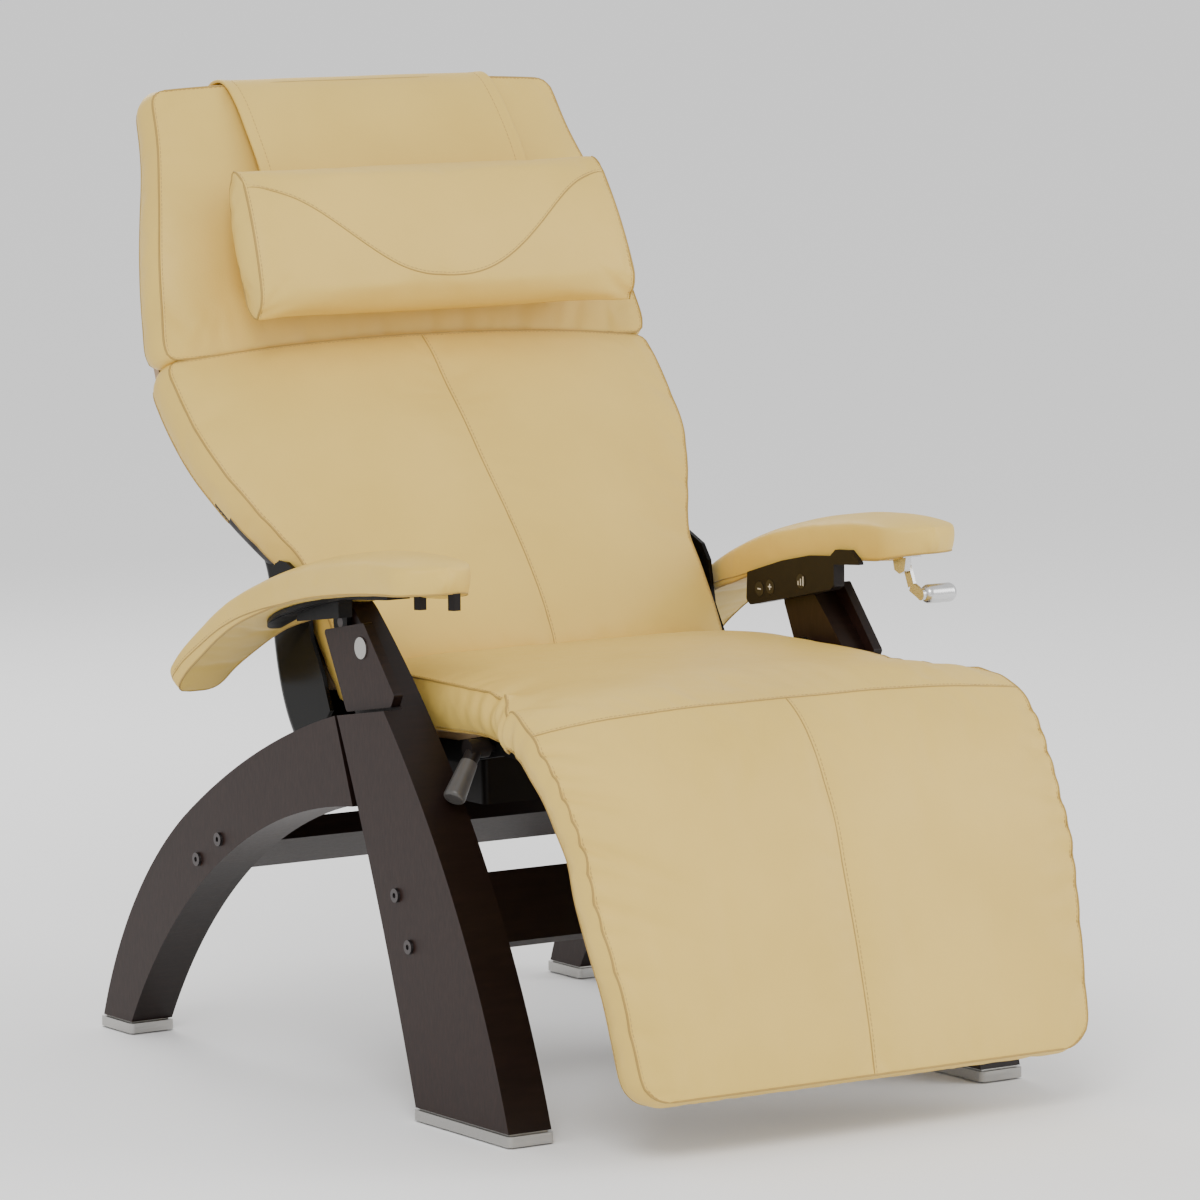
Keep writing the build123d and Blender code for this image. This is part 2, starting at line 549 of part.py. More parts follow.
# ---- leg rest ------------------------------------------------------------------------------------------
leg_rear = offset_line(leg_front, 44)
with BuildPart() as legrest_cushion:
    slab([(-390, 433), (-415, 461)] + leg_front + [(-562, 64), (-530, 60)] + leg_rear[::-1][1:-1]
         + [(-399, 405), (-389, 420)], -335, 335)
    with BuildSketch(Plane.XZ.offset(200)) as leg_plan:
        with BuildLine():
            Polyline((-329, 470), (-331, 442), (-327, 400), (-321, 345), (-323, 300), (-317, 220),
                     (-309, 142), (-303, 100), (-292, 74), (-270, 58), (270, 58), (292, 74),
                     (303, 100), (309, 142), (317, 220), (323, 300), (321, 345), (327, 400),
                     (331, 442), (329, 470), close=True)
        make_face()
    extrude(leg_plan.sketch, amount=420, mode=Mode.INTERSECT)
    for side in (-1, 1):
        rod(knee_at, 14.5, rail_out - 1, 268, side, Mode.SUBTRACT)
        slab(strip(knee_at, (-421, 345), 0, 90, 10.5), rail_out - 1, 268, side, Mode.SUBTRACT)
keep(legrest_cushion.part, "legrest_cushion")

with BuildPart() as legrest_board:
    slab(leg_rear[1:-1] + offset_line(leg_front, 54)[1:-1][::-1], -286, 286)
keep(legrest_board.part, "legrest_board")

with BuildPart() as legrest_frame:
    arm_line, arm_back = offset_line(leg_front, 54)[1:-1], offset_line(leg_front, 74)[1:-1]
    for side in (-1, 1):
        slab(arm_line + arm_back[::-1], 244, 260, side)
        slab(strip(knee_at, (-421, 345), 0, 88, 9), 260, 266, side)
        rod(knee_at, 12, 260, 266, side)
        rod(knee_at, 6, 259, 267, side, Mode.SUBTRACT)
    slab(arm_line[1:3] + arm_back[1:3][::-1], -244, 244)
    slab(arm_line[-2:] + arm_back[-2:][::-1], -244, 244)
    for x0 in (strut_x - 18, strut_x + 10):
        slab([(-438, 318), (-431, 340), (-420, 344), (-408, 339), (-405, 326), (-412, 316),
              (-427, 309)], x0, x0 + 8)
        rod(strut_eye, 8, x0 - 1, x0 + 9, 1, Mode.SUBTRACT)
keep(legrest_frame.part, "legrest_frame")

with BuildPart() as knee_pins:
    for side in (-1, 1):
        rod(knee_at, 6, rail_out + 0.4, 266, side)
keep(knee_pins.part, "knee_pins")

with BuildPart() as strut_tube:
    strut_plane = Plane(origin=(strut_x, *strut_foot), x_dir=(1, 0, 0),
                        z_dir=(0, strut_eye[0] - strut_foot[0], strut_eye[1] - strut_foot[1]))
    with BuildSketch(strut_plane.offset(14)) as strut_ring:
        Circle(11)
    extrude(strut_ring.sketch, amount=236)
    with BuildSketch(strut_plane.offset(26)) as strut_bore:
        Circle(5 + fit)
    extrude(strut_bore.sketch, amount=240, mode=Mode.SUBTRACT)
    rod(strut_foot, 10, strut_x - 11.5, strut_x + 11.5)
    slab(strip(strut_foot, strut_eye, 0, 22, 7), strut_x - 9, strut_x + 9)
    rod(strut_foot, 5, strut_x - 20, strut_x + 20)
keep(strut_tube.part, "strut_tube")

with BuildPart() as strut_rod:
    strut_reach = math.dist(strut_foot, strut_eye)
    with BuildSketch(strut_plane.offset(strut_reach - 270)) as strut_bar:
        Circle(5)
    extrude(strut_bar.sketch, amount=262)
    rod(strut_eye, 8.5, strut_x - 5, strut_x + 5)
    rod(strut_eye, 4, strut_x - 18, strut_x + 18)
keep(strut_rod.part, "strut_rod")

# ---- leg rest lever ---------------------------------------------------------------------------------------
lever_plane = Plane(origin=(-277, *lever_hub), x_dir=(1, 0, 0), z_dir=(-0.608, -0.297, -0.735))
with BuildPart() as leg_lever:
    rod(lever_hub, 5, 236, 262, -1)
    rod(lever_hub, 11, 262, 288, -1)
    with BuildSketch(lever_plane.offset(6)) as collar:
        Circle(9)
    extrude(collar.sketch, amount=14)
keep(leg_lever.part, "leg_lever")

with BuildPart() as leg_lever_grip:
    with BuildSketch(lever_plane.offset(20)) as grip_top:
        Circle(10)
    with BuildSketch(lever_plane.offset(70)) as grip_end:
        Circle(13)
    loft([grip_top.sketch.face(), grip_end.sketch.face()])
    fillet(leg_lever_grip.edges().group_by(Axis.Z)[0], 4)
keep(leg_lever_grip.part, "leg_lever_grip")
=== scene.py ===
import json
import math
import bmesh
import bpy
import numpy as np
from mathutils import Matrix, Vector, noise


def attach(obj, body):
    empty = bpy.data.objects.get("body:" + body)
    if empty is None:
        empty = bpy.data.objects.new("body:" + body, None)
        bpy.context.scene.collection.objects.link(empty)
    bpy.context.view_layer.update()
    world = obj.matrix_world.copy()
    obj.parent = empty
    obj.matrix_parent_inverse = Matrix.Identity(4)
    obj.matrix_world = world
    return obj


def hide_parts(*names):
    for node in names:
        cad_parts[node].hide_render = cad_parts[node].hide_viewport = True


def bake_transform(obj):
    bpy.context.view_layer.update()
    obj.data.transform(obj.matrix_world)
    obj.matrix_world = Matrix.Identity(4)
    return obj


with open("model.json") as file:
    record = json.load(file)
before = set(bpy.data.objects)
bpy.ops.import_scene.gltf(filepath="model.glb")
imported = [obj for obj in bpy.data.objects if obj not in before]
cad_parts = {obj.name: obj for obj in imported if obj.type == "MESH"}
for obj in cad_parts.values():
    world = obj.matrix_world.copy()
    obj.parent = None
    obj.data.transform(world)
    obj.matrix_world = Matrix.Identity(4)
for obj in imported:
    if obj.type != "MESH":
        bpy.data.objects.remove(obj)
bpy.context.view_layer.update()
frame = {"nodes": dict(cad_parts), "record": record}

nodes = frame["nodes"]


# ---- camera and light ----------------------------------------------------------------------------
CAMERA_ANGLES = (-33.245, 6.788, -0.52)        # azimuth, elevation, roll
CAMERA_PLACE = (-4.1543, -6.3580, 1.4513)
CAMERA_LENS = 197.535


def add_camera():
    azimuth, elevation, roll = (math.radians(v) for v in CAMERA_ANGLES)
    back = Vector((math.sin(azimuth) * math.cos(elevation),
                   -math.cos(azimuth) * math.cos(elevation), math.sin(elevation)))
    right = Vector((math.cos(azimuth), math.sin(azimuth), 0))
    up = back.cross(right)
    right, up = (right * math.cos(roll) + up * math.sin(roll),
                 up * math.cos(roll) - right * math.sin(roll))
    data = bpy.data.cameras.new("camera")
    data.lens, data.sensor_width, data.clip_end = CAMERA_LENS, 36.0, 100.0
    cam = bpy.data.objects.new("camera", data)
    bpy.context.collection.objects.link(cam)
    m = Matrix((right, up, back)).transposed().to_4x4()
    m.translation = Vector(CAMERA_PLACE)
    cam.matrix_world = m
    bpy.context.scene.camera = cam


def add_area(name, at, target, size, power):
    data = bpy.data.lights.new(name, "AREA")
    data.shape, data.size, data.energy = "DISK", size, power
    lamp = bpy.data.objects.new(name, data)
    lamp.location = at
    lamp.rotation_euler = (Vector(target) - Vector(at)).to_track_quat("-Z", "Y").to_euler()
    bpy.context.collection.objects.link(lamp)


add_camera()
add_area("key", (-2.6, -3.4, 3.6), (0, 0, 0.5), 2.2, 135)
add_area("fill", (3.6, -3.0, 2.2), (0, 0, 0.5), 2.6, 70)
add_area("rim", (0.6, 3.6, 2.8), (0, 0, 0.6), 2.2, 60)
world = bpy.data.worlds.new("studio")
world.use_nodes = True
sky = world.node_tree.nodes["Background"]
sky.inputs["Color"].default_value = (1, 1, 1, 1)
sky.inputs["Strength"].default_value = 1.05
bpy.context.scene.world = world


# ---- materials -----------------------------------------------------------------------------------
class Shader:
    """A Principled material with short helpers for the node graph."""

    def __init__(self, name, **sockets):
        self.mat = bpy.data.materials.new(name)
        self.mat.use_nodes = True
        self.tree = self.mat.node_tree
        self.bsdf = self.tree.nodes["Principled BSDF"]
        for key, value in sockets.items():
            self.bsdf.inputs[key.replace("_", " ")].default_value = value
        self.coords = self.tree.nodes.new("ShaderNodeTexCoord").outputs["Object"]

    def node(self, kind, inputs=(), **props):
        n = self.tree.nodes.new("ShaderNode" + kind)
        for key, value in props.items():
            setattr(n, key, value)
        for key, value in dict(inputs).items():
            if isinstance(value, bpy.types.NodeSocket):
                self.tree.links.new(value, n.inputs[key])
            else:
                n.inputs[key].default_value = value
        return n

    def stretch(self, scale, turn=(0, 0, 0)):
        return self.node("Mapping", {"Vector": self.coords, "Scale": scale,
                                     "Rotation": turn}).outputs[0]

    def noise(self, scale, detail=3, rough=0.5, vector=None):
        return self.node("TexNoise", {"Vector": vector or self.coords, "Scale": scale,
                                      "Detail": detail, "Roughness": rough}).outputs["Fac"]

    def ramp(self, fac, stops):
        n = self.node("ValToRGB", {"Fac": fac})
        while len(n.color_ramp.elements) < len(stops):
            n.color_ramp.elements.new(0.5)
        for e, (at, rgb) in zip(n.color_ramp.elements, stops):
            e.position, e.color = at, (*rgb, 1)
        return n.outputs["Color"]

    def remap(self, fac, lo, hi, a=0.0, b=1.0):
        return self.node("MapRange", {"Value": fac, "From Min": a, "From Max": b, "To Min": lo,
                                      "To Max": hi}).outputs[0]

    def bump(self, height, strength, distance, normal=None):
        inputs = {"Height": height, "Strength": strength, "Distance": distance}
        if normal:
            inputs["Normal"] = normal
        return self.node("Bump", inputs).outputs[0]

    def link(self, output, socket):
        self.tree.links.new(output, self.bsdf.inputs[socket])


def leather(name, light, dark):
    """Pebbled hide: broad creases under a round grain under fine cells."""
    s = Shader(name, Roughness=0.45, Specular_IOR_Level=0.30)
    cloud = s.noise(5.0, 4, 0.55)
    s.link(s.ramp(cloud, [(0.30, dark), (0.70, light)]), "Base Color")
    cells = s.node("TexVoronoi", {"Vector": s.coords, "Scale": 850.0}, feature="DISTANCE_TO_EDGE")
    pebble = s.node("TexVoronoi", {"Vector": s.coords, "Scale": 430.0}, feature="SMOOTH_F1")
    hide = s.bump(s.noise(38.0, 5, 0.6), 0.16, 0.0011)
    grain = s.bump(pebble.outputs["Distance"], 0.20, 0.0004, hide)
    s.link(s.bump(cells.outputs["Distance"], 0.22, 0.00025, grain), "Normal")
    s.link(s.remap(s.noise(60.0, 4), 0.40, 0.56), "Roughness")
    return s.mat


def wood(name):
    """Stained bentwood with fibre and pores; faces that look forward get a darker base colour as
    painted shade.
    """
    s = Shader(name, Roughness=0.42, Coat_Weight=0.04, Coat_Roughness=0.25,
               Specular_IOR_Level=0.20)
    fibre = s.noise(9.0, 8, 0.62, s.stretch((2.0, 26.0, 9.0), (0.95, 0, 0)))
    pore = s.noise(160.0, 4, 0.7, s.stretch((1.0, 3.0, 0.35), (0.5, 0, 0)))
    tone = s.ramp(fibre, [(0.30, (0.0130, 0.0050, 0.0034)), (0.52, (0.0180, 0.0072, 0.0050)),
                          (0.72, (0.0240, 0.0100, 0.0070))])
    # painted shade: the base colour darkens on faces whose object normal points forward (-Y), down
    # to 0.45 of the stain colour
    facing = s.node("SeparateXYZ", {"Vector": s.coords.node.outputs["Normal"]}).outputs["Y"]
    painted_front_shade = s.remap(facing, 0.45, 1.0, -0.60, -0.30)
    shade = s.node("CombineXYZ", {axis: painted_front_shade for axis in "XYZ"}).outputs[0]
    s.link(s.node("VectorMath", {0: tone, 1: shade}, operation="MULTIPLY").outputs[0],
           "Base Color")
    s.link(s.remap(pore, 0.36, 0.50), "Roughness")
    s.link(s.bump(pore, 0.12, 0.0004, s.bump(fibre, 0.10, 0.0008)), "Normal")
    return s.mat


def metal(name, tint, rough, brushed=(1, 1, 1)):
    """Bare or plated metal with fine streaks, drawn out where it is brushed."""
    s = Shader(name, Metallic=1.0, Roughness=rough)
    streak = s.noise(240.0, 3, 0.6, s.stretch(brushed))
    s.link(s.ramp(streak, [(0.3, [c * 0.86 for c in tint]), (0.7, tint)]), "Base Color")
    s.link(s.remap(streak, rough * 0.8, rough * 1.3), "Roughness")
    s.link(s.bump(streak, 0.05, 0.0002), "Normal")
    return s.mat


def plastic(name, tint, rough, texture=700.0, strength=0.08, shine=0.5):
    """Moulded plastic, rubber or powder coat: mottled tint over a fine texture."""
    s = Shader(name, Roughness=rough, Specular_IOR_Level=shine)
    mottle = s.noise(26.0, 4)
    s.link(s.ramp(mottle, [(0.3, [c * 0.85 for c in tint]), (0.7, [c * 1.15 for c in tint])]),
           "Base Color")
    s.link(s.remap(s.noise(90.0, 3), rough * 0.85, rough * 1.2), "Roughness")
    s.link(s.bump(s.noise(texture, 2), strength, 0.0002), "Normal")
    return s.mat


def plywood(name):
    """Bare boards behind the upholstery."""
    s = Shader(name, Roughness=0.55)
    ring = s.noise(6.0, 6, 0.6, s.stretch((14.0, 1.6, 1.6)))
    s.link(s.ramp(ring, [(0.3, (0.36, 0.23, 0.12)), (0.7, (0.52, 0.37, 0.22))]), "Base Color")
    s.link(s.bump(ring, 0.12, 0.0005), "Normal")
    return s.mat


BLACK = (0.009, 0.0065, 0.006)
KEY_FACE_X = 0.27845            # the marks stand inboard of this plane, metres


def key_cap(name):
    """Dark keys whose raised marks stand above the cap and are printed pale."""
    s = Shader(name, Roughness=0.4)
    x = s.node("SeparateXYZ", {"Vector": s.coords}).outputs["X"]
    mark = s.node("Math", {0: x, 1: KEY_FACE_X}, operation="LESS_THAN").outputs[0]
    s.link(s.ramp(mark, [(0.2, BLACK), (0.8, (0.62, 0.60, 0.55))]), "Base Color")
    s.link(s.bump(s.noise(600.0), 0.06, 0.0002), "Normal")
    return s.mat


mats = {
    "espresso_wood": (wood,),
    "brushed_nickel": (metal, (0.46, 0.45, 0.43), 0.32, (0.15, 2.5, 2.5)),
    "foot_rubber": (plastic, (0.02, 0.02, 0.02), 0.8, 300.0, 0.3),
    "bolt_steel": (metal, (0.10, 0.09, 0.09), 0.38),
    "bush_bronze": (metal, (0.60, 0.42, 0.22), 0.4),
    "black_steel": (plastic, (0.006, 0.0055, 0.0055), 0.46, 500.0, 0.16, 0.14),
    "polished_rod": (metal, (0.75, 0.75, 0.76), 0.12),
    "satin_chrome": (metal, (0.66, 0.66, 0.66), 0.27, (0.2, 2.0, 2.0)),
    "cream_leather": (leather, (0.735, 0.508, 0.122), (0.670, 0.456, 0.102)),
    "black_plastic": (plastic, BLACK, 0.42, 500.0, 0.1, 0.20),
    "button_grey": (key_cap,),
    "plywood": (plywood,),
    "gloss_black_shell": (plastic, (0.004, 0.0035, 0.003), 0.20, 40.0, 0.02, 0.10),
    "motor_case": (metal, (0.28, 0.28, 0.29), 0.45),
    "grip_grey": (plastic, (0.06, 0.056, 0.053), 0.36, 500.0, 0.12),
}
mats = {name: make(name, *look) for name, (make, *look) in mats.items()}
for row in frame["record"]["subparts"]:
    for place in nodes[row["node"]].material_slots:
        place.link = "OBJECT"
        place.material = mats[row["material_slot"]]


def thread(name):
    s = Shader(name, Roughness=0.7)
    s.link(s.ramp(s.noise(900.0), [(0.3, (0.34, 0.21, 0.07)), (0.7, (0.56, 0.38, 0.14))]),
           "Base Color")
    return s.mat


thread_mat = thread("thread")
welt_mat = leather("welt_leather", (0.430, 0.280, 0.072), (0.370, 0.236, 0.058))


# ---- upholstery: a box lattice bent along a seam line, puffed as cloth, then sewn ----------------
def smooth_rows(rows, at):
    """Rows of numbers, the first two a (y, z) point, read smoothly at fractions of the length."""
    p = np.array(rows, float)
    s = np.r_[0, np.cumsum(np.linalg.norm(np.diff(p[:, :2], axis=0), axis=1))]
    m = np.gradient(p, s, axis=0)
    t = np.asarray(at) * s[-1]
    i = np.clip(np.searchsorted(s, t, side="right") - 1, 0, len(s) - 2)
    h = (s[i + 1] - s[i])[:, None]
    f = (t - s[i])[:, None] / h
    value = ((2 * f**3 - 3 * f**2 + 1) * p[i] + (f**3 - 2 * f**2 + f) * h * m[i]
             + (3 * f**2 - 2 * f**3) * p[i + 1] + (f**3 - f**2) * h * m[i + 1])
    return value, s[-1]


def ahead_of(rows, at):
    """Unit direction of the line at the given fractions."""
    w, _ = smooth_rows(rows, np.clip(at + 1e-3, 0, 1))
    u, _ = smooth_rows(rows, np.clip(at - 1e-3, 0, 1))
    d = w[:, :2] - u[:, :2]
    return d / np.linalg.norm(d, axis=1, keepdims=True)


def push(p, direction, depth):
    """Points moved along (y, z) directions, in place."""
    p[:, 1] += direction[:, 0] * depth
    p[:, 2] += direction[:, 1] * depth


def box_lattice(nu, nv, nw):
    """The skin of a box of cells: vertex keys (i, j, k) and quads that face outwards."""
    index, keys, quads = {}, [], []

    def v(i, j, k):
        if (i, j, k) not in index:
            index[(i, j, k)] = len(keys)
            keys.append((i, j, k))
        return index[(i, j, k)]

    for i in range(nu):
        for j in range(nv):
            quads.append((v(i, j, 0), v(i + 1, j, 0), v(i + 1, j + 1, 0), v(i, j + 1, 0)))
            quads.append((v(i, j, nw), v(i, j + 1, nw), v(i + 1, j + 1, nw), v(i + 1, j, nw)))
        for k in range(nw):
            quads.append((v(i, 0, k), v(i, 0, k + 1), v(i + 1, 0, k + 1), v(i + 1, 0, k)))
            quads.append((v(i, nv, k), v(i + 1, nv, k), v(i + 1, nv, k + 1), v(i, nv, k + 1)))
    for j in range(nv):
        for k in range(nw):
            quads.append((v(0, j, k), v(0, j + 1, k), v(0, j + 1, k + 1), v(0, j, k + 1)))
            quads.append((v(nu, j, k), v(nu, j, k + 1), v(nu, j + 1, k + 1), v(nu, j + 1, k)))
    return index, np.array(keys), quads


def wobble(points, scale, seed):
    """Smooth noise, one number a point, points in millimetres."""
    return np.array([noise.noise(Vector(p) / scale + Vector((seed, 0, 0))) for p in points])


PUFF_FRAMES = 20


class Cushion:
    """A padded piece: its lattice, its place function and the seams that run on lattice lines."""

    def __init__(self, name, cells, place, creases, crease=0.55):
        self.name, self.cells = name, cells
        self.index, self.keys, self.quads = box_lattice(*cells)
        a, b, c = (self.keys / np.array(cells)).T
        points = place(a, 2 * b - 1, c)
        mesh = bpy.data.meshes.new(name)
        mesh.from_pydata((points / 1000).tolist(), [], self.quads)
        mesh.validate()
        self.obj = bpy.data.objects.new(name, mesh)
        bpy.context.collection.objects.link(self.obj)
        fix_normals(mesh)
        self.pins = sorted({n for line in creases for n in self.line(line)})
        marks = mesh.attributes.new("crease_edge", "FLOAT", "EDGE")
        held = set()
        for line in creases:
            ids = self.line(line)
            held.update(frozenset(e) for e in zip(ids, ids[1:]))
        for e in mesh.edges:
            if frozenset(e.vertices) in held:
                marks.data[e.index].value = crease

    def line(self, keys):
        return [self.index[k] for k in keys]

    def puff(self, cap, pressure=4.0, slack=0.012):
        """Cloth under pressure between its pinned seams; no point moves further than cap mm."""
        obj, scene = self.obj, bpy.context.scene
        start = np.array([v.co for v in obj.data.vertices])
        group = obj.vertex_groups.new(name="seams")
        group.add(self.pins, 1.0, "ADD")
        mod = obj.modifiers.new("cloth", "CLOTH")
        s = mod.settings
        s.quality, s.mass = 5, 0.4
        s.tension_stiffness = s.compression_stiffness = 12.0
        s.shear_stiffness, s.bending_stiffness = 6.0, 0.6
        s.use_pressure, s.uniform_pressure_force = True, pressure
        s.shrink_min = -slack
        s.vertex_group_mass = "seams"
        s.effector_weights.gravity = 0
        mod.collision_settings.use_collision = False
        mod.point_cache.frame_start, mod.point_cache.frame_end = 1, PUFF_FRAMES
        for f in range(1, PUFF_FRAMES + 1):
            scene.frame_set(f)
        evaluated = obj.evaluated_get(bpy.context.evaluated_depsgraph_get())
        end = np.array([v.co for v in evaluated.data.vertices])
        obj.modifiers.remove(mod)
        obj.vertex_groups.clear()
        scene.frame_set(1)
        move = end - start
        size = np.linalg.norm(move, axis=1, keepdims=True)
        most = cap / 1000
        move *= (most * np.tanh(size / most)) / np.maximum(size, 1e-9)
        obj.data.vertices.foreach_set("co", (start + move).ravel())
        obj.data.update()

    def finish(self, material="cream_leather", other=None, rule=None):
        """One subdivision, applied; the first vertices stay the lattice's own. Faces whose middle
        (i, j, k) passes the rule take the other material."""
        if other:
            middle = np.array([self.keys[list(q)].mean(0) for q in self.quads])
            self.obj.data.polygons.foreach_set("material_index", rule(*middle.T).astype(np.int32))
        mod = self.obj.modifiers.new("smooth", "SUBSURF")
        mod.levels = mod.render_levels = 1
        evaluated = self.obj.evaluated_get(bpy.context.evaluated_depsgraph_get())
        mesh = bpy.data.meshes.new_from_object(evaluated)
        self.obj.modifiers.clear()
        old, self.obj.data = self.obj.data, mesh
        bpy.data.meshes.remove(old)
        mesh.name = self.name
        picked = np.zeros(len(mesh.polygons), np.int32)
        mesh.polygons.foreach_get("material_index", picked)
        mesh.materials.clear()
        for name in filter(None, (material, other)):
            mesh.materials.append(mats[name])
        mesh.polygons.foreach_set("material_index", picked)
        mesh.shade_smooth()
        self.at = np.array([v.co for v in mesh.vertices])
        self.up = np.array([v.normal for v in mesh.vertices])
        return self.obj

    def read(self, keys, beside=None, share=0.0):
        """Points and normals along a lattice line, moved part of the way to the line beside it."""
        ids = self.line(keys)
        p, n = self.at[ids], self.up[ids]
        if beside:
            other = self.line(beside)
            p, n = p + (self.at[other] - p) * share, n + (self.up[other] - n) * share
        return p, n / np.linalg.norm(n, axis=1, keepdims=True)


def fix_normals(mesh):
    bm = bmesh.new()
    bm.from_mesh(mesh)
    bmesh.ops.recalc_face_normals(bm, faces=bm.faces)
    bm.to_mesh(mesh)
    bm.free()


def resample(points, normals, step):
    s = np.r_[0, np.cumsum(np.linalg.norm(np.diff(points, axis=0), axis=1))]
    t = np.linspace(0, s[-1], max(2, int(round(s[-1] / step)) + 1))
    mix = [np.stack([np.interp(t, s, v[:, k]) for k in range(3)], 1) for v in (points, normals)]
    return mix[0], mix[1] / np.linalg.norm(mix[1], axis=1, keepdims=True)


WELT, THREAD = 0, 1             # material places on the sewn work


class Sewing:
    """Welts and stitches gathered into one mesh that rides with its cushion."""

    def __init__(self, name):
        self.name, self.verts, self.quads, self.slots = name, [], [], []

    def tube(self, points, normals, radius, slot, sides=6, lift=0.0, ends=0.5):
        """A closed round tube along the points, thinner at its two ends."""
        base = len(self.verts)
        n = len(points)
        along = np.gradient(points, axis=0)
        along /= np.linalg.norm(along, axis=1, keepdims=True)
        across = np.cross(along, normals)
        across /= np.linalg.norm(across, axis=1, keepdims=True)
        lifted = np.cross(across, along)
        for i in range(n):
            r = radius * (ends if i in (0, n - 1) else 1.0)
            for k in range(sides):
                a = 2 * math.pi * k / sides
                self.verts.append(tuple(points[i] + lifted[i] * (lift + r * math.sin(a))
                                        + across[i] * (r * math.cos(a))))
        for i in range(n - 1):
            for k in range(sides):
                a, b = base + i * sides + k, base + i * sides + (k + 1) % sides
                self.quads.append((a, b, b + sides, a + sides))
                self.slots.append(slot)
        self.quads.append(tuple(base + k for k in range(sides))[::-1])
        self.quads.append(tuple(base + (n - 1) * sides + k for k in range(sides)))
        self.slots += [slot, slot]

    def welt(self, points, normals, radius=0.0013, lift=0.0):
        p, n = resample(points, normals, 0.006)
        self.tube(p, n, radius, WELT, 6, lift)

    def stitch(self, points, normals, pitch=0.0058, radius=0.00038, lift=0.00012):
        """One short raised thread a pitch."""
        p, n = resample(points, normals, pitch)
        for a, b, u, v in zip(p[:-1], p[1:], n[:-1], n[1:]):
            run = np.array([a + (b - a) * f for f in (0.08, 0.25, 0.65, 0.82)])
            self.tube(run, np.array([u, u, v, v]), radius, THREAD, 5, lift, 0.45)

    def finish(self):
        mesh = bpy.data.meshes.new(self.name)
        mesh.from_pydata(self.verts, [], self.quads)
        mesh.materials.append(welt_mat)
        mesh.materials.append(thread_mat)
        mesh.polygons.foreach_set("material_index", self.slots)
        mesh.shade_smooth()
        obj = bpy.data.objects.new(self.name, mesh)
        bpy.context.collection.objects.link(obj)
        return obj


def rim(cells, rear):
    """The closed lattice line round the front or the rear panel."""
    nu, nv, nw = cells
    k = nw if rear else 0
    ring = ([(i, 0, k) for i in range(nu + 1)] + [(nu, j, k) for j in range(1, nv + 1)]
            + [(i, nv, k) for i in range(nu - 1, -1, -1)]
            + [(0, j, k) for j in range(nv - 1, 0, -1)])
    return ring + ring[:1]


FLUSH, SIDE = 1e-6, 0.999       # on the front or end panel; on a side panel


def bent_pad(rows, ends=(0.0, 0.0), side_bulge=6.0, end_bulge=4.0, extra=None, power=2.4):
    """Place function: rows are (y, z, half width, crown, depth) along the front side seam.
    ends gives the corner radius at the start and at the end of the line."""
    length = smooth_rows(rows, [0, 1])[1]

    def place(a, b, c):
        s = a * length
        for r, at_end in ((ends[0] * 1.6, False), (ends[1] * 1.6, True)):
            if r:                   # rows of cells crowd into a rounded end
                far = (length - s) if at_end else s
                closer = r * (1 - np.cos(np.clip(far / r, 0, 1) * math.pi / 2))
                s = np.where(far < r, (length - closer) if at_end else closer, s)
        t = s / length
        v, _ = smooth_rows(rows, t)
        d = ahead_of(rows, t)
        front = np.stack([d[:, 1], -d[:, 0]], 1)
        half, crown, depth = v[:, 2].copy(), v[:, 3], v[:, 4]
        for r, far in ((ends[0], s), (ends[1], length - s)):
            if r:
                q = np.clip(far, 0, r)
                half -= r - np.sqrt(np.maximum(r * r - (r - q) ** 2, 0))
        swell = 4 * c * (1 - c)
        up = crown * (1 - np.abs(b) ** power) * (1 - c) - depth * c
        out = np.where(np.abs(b) > SIDE, side_bulge * swell, 0)
        tail = np.where(a > 1 - FLUSH, 1, 0) - np.where(a < FLUSH, 1, 0)
        shift = tail * end_bulge * swell
        x = np.sign(b) * (np.abs(b) * half + out)
        p = np.stack([x, v[:, 0], v[:, 1]], 1)
        push(p, front, up)
        push(p, d, shift)
        if extra:
            p = extra(p, s, b, c, half, front)
        return p

    return place


def sew(name, cushion, seams, body=None, blend=None):
    """A welt on each line of keys, (keys, radius) or (keys, radius, keys beside, share): with
    the last two, stitches run that share of the way to the line beside it."""
    work = Sewing(name)
    for keys, radius, *stitched in seams:
        work.welt(*cushion.read(keys), radius, -radius * 0.15)
        if stitched:
            work.stitch(*cushion.read(keys, *stitched))
    piece = work.finish()
    if blend:
        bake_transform(piece)
    else:
        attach(piece, body)


def side_line(cells, j, k, i0=0, i1=None):
    """A lattice line that runs down the cushion."""
    return [(i, j, k) for i in range(i0, (cells[0] if i1 is None else i1) + 1)]


def cross_line(cells, i, k):
    """A lattice line that runs across the cushion."""
    return [(i, j, k) for j in range(cells[1] + 1)]


def front_edges(cells):
    """Both long edges of the front panel, stitched on the panel."""
    nv = cells[1]
    return [(side_line(cells, j, 0), 0.0013, side_line(cells, beside, 0), 0.45)
            for j, beside in ((0, 1), (nv, nv - 1))]


def rear_edges(cells, i1=None):
    """Both long edges of the rear panel as far as line i1, stitched on the side panels."""
    nv, nw = cells[1:]
    return [(side_line(cells, j, nw, 0, i1), 0.0012, side_line(cells, j, nw - 1, 0, i1), 0.4)
            for j in (0, nv)]


def valley(t, width):
    """A smooth dip of depth 1 at t 0."""
    return 1 / (1 + (t / width) ** 2) ** 1.5


